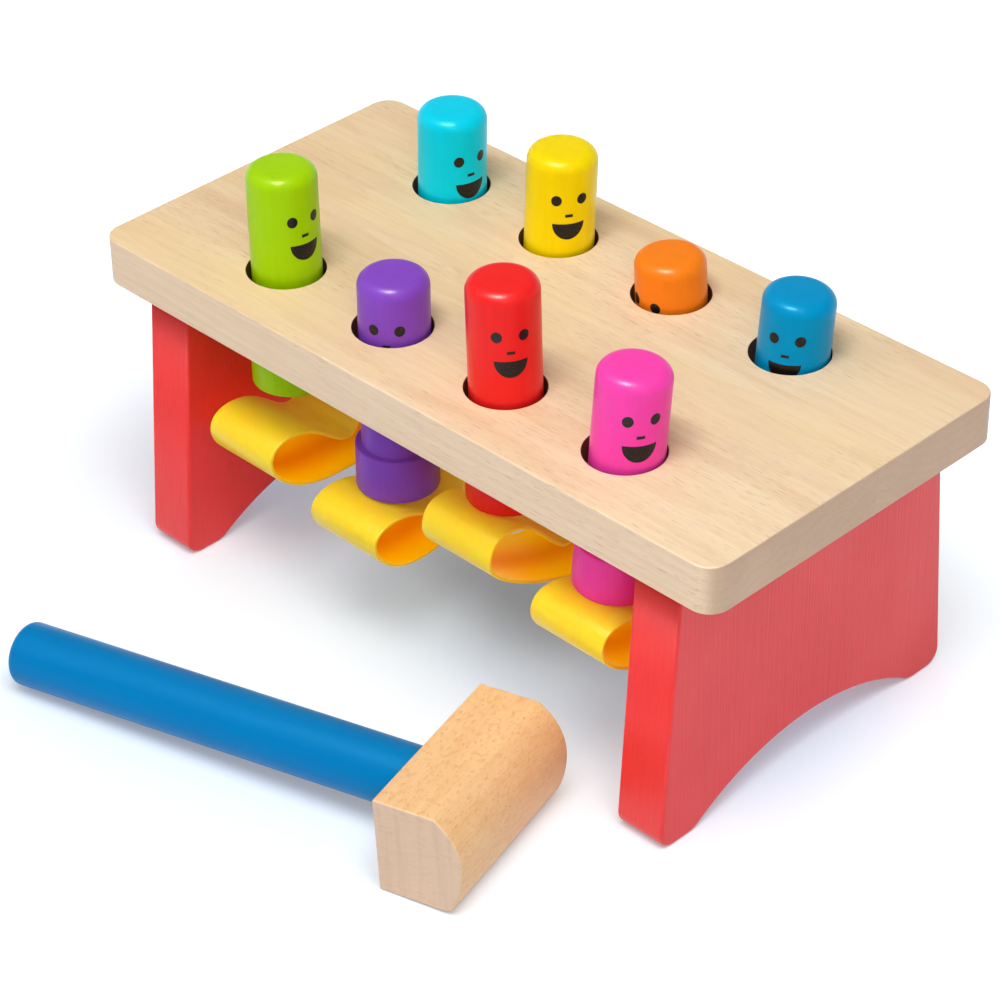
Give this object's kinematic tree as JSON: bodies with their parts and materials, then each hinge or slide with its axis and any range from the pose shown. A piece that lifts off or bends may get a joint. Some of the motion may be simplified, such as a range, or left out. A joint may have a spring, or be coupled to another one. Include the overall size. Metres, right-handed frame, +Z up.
{
  "type": "peg pounding bench",
  "caption": "Wooden pounding bench for small children: captive coloured pegs slide through a board on flared legs, joined in see-saw pairs by looped spring bands, with a wooden mallet.",
  "frame": {"origin": "on the floor, under the middle of the space that the bench and the mallet in front of it take up together", "axes": "+X along the length of the bench to its right end, +Y from the front to the back, +Z up; the mallet lies in front, towards -Y"},
  "size_m": [0.2868, 0.2356, 0.1617],
  "materials": {
    "pine": "clear satin lacquer",
    "red_paint": "satin paint with the grain showing through",
    "dowel_beech": "bare",
    "zinc_steel": "zinc plated",
    "yellow_plastic": "glossy, slightly see-through",
    "beech": "clear satin lacquer",
    "handle_blue": "satin lacquer",
    "green_lacquer": "satin lacquer",
    "cyan_lacquer": "satin lacquer",
    "purple_lacquer": "satin lacquer",
    "yellow_lacquer": "satin lacquer",
    "red_lacquer": "satin lacquer",
    "orange_lacquer": "satin lacquer",
    "pink_lacquer": "satin lacquer",
    "blue_lacquer": "satin lacquer"
  },
  "bodies": {
    "bench": {"board": "pine", "left_leg": "red_paint", "right_leg": "red_paint", "left_leg_dowels": "dowel_beech", "right_leg_dowels": "dowel_beech", "clamp_batten": "pine", "batten_screws": "zinc_steel", "green_cyan_band": "yellow_plastic", "purple_yellow_band": "yellow_plastic", "red_orange_band": "yellow_plastic", "pink_blue_band": "yellow_plastic"},
    "green_peg": {"green_peg": "green_lacquer"},
    "cyan_peg": {"cyan_peg": "cyan_lacquer"},
    "purple_peg": {"purple_peg": "purple_lacquer"},
    "yellow_peg": {"yellow_peg": "yellow_lacquer"},
    "red_peg": {"red_peg": "red_lacquer"},
    "orange_peg": {"orange_peg": "orange_lacquer"},
    "pink_peg": {"pink_peg": "pink_lacquer"},
    "blue_peg": {"blue_peg": "blue_lacquer"},
    "mallet": {"mallet_head": "beech", "mallet_handle": "handle_blue"}
  },
  "joints": [
    {"name": "green_peg_slide", "type": "slide", "parent": "bench", "child": "green_peg", "axis": [-0.0223, 0.0121, 0.9997], "range_m": [-0.017, 0.0088], "deforming": ["green_cyan_band"]},
    {"name": "cyan_peg_slide", "type": "slide", "parent": "bench", "child": "cyan_peg", "axis": [0.0134, 0.0137, 0.9998], "range_m": [-0.0088, 0.017]},
    {"name": "purple_peg_slide", "type": "slide", "parent": "bench", "child": "purple_peg", "axis": [0.0073, 0.0075, 0.9999], "range_m": [-0.012, 0.0276], "deforming": ["purple_yellow_band"]},
    {"name": "yellow_peg_slide", "type": "slide", "parent": "bench", "child": "yellow_peg", "axis": [0.0293, 0.0299, 0.9991], "range_m": [-0.0276, 0.012]},
    {"name": "red_peg_slide", "type": "slide", "parent": "bench", "child": "red_peg", "axis": [-0.0098, -0.01, 0.9999], "range_m": [-0.0318, 0.0066], "deforming": ["red_orange_band"]},
    {"name": "orange_peg_slide", "type": "slide", "parent": "bench", "child": "orange_peg", "axis": [-0.0244, -0.0249, 0.9994], "range_m": [-0.0066, 0.0318]},
    {"name": "pink_peg_slide", "type": "slide", "parent": "bench", "child": "pink_peg", "axis": [0.0488, 0.0498, 0.9976], "range_m": [-0.0233, 0.0149], "deforming": ["pink_blue_band"]},
    {"name": "blue_peg_slide", "type": "slide", "parent": "bench", "child": "blue_peg", "axis": [0.0488, 0.0498, 0.9976], "range_m": [-0.0149, 0.0233]},
    {"name": "mallet_lift", "type": "slide", "parent": "bench", "child": "mallet", "axis": [0, 0, 1], "range_m": [0, 0.2]}
  ],
  "couplings": [
    {"joint": "cyan_peg_slide", "follows": "green_peg_slide", "ratio": -1},
    {"joint": "yellow_peg_slide", "follows": "purple_peg_slide", "ratio": -1},
    {"joint": "orange_peg_slide", "follows": "red_peg_slide", "ratio": -1},
    {"joint": "blue_peg_slide", "follows": "pink_peg_slide", "ratio": -1}
  ]
}
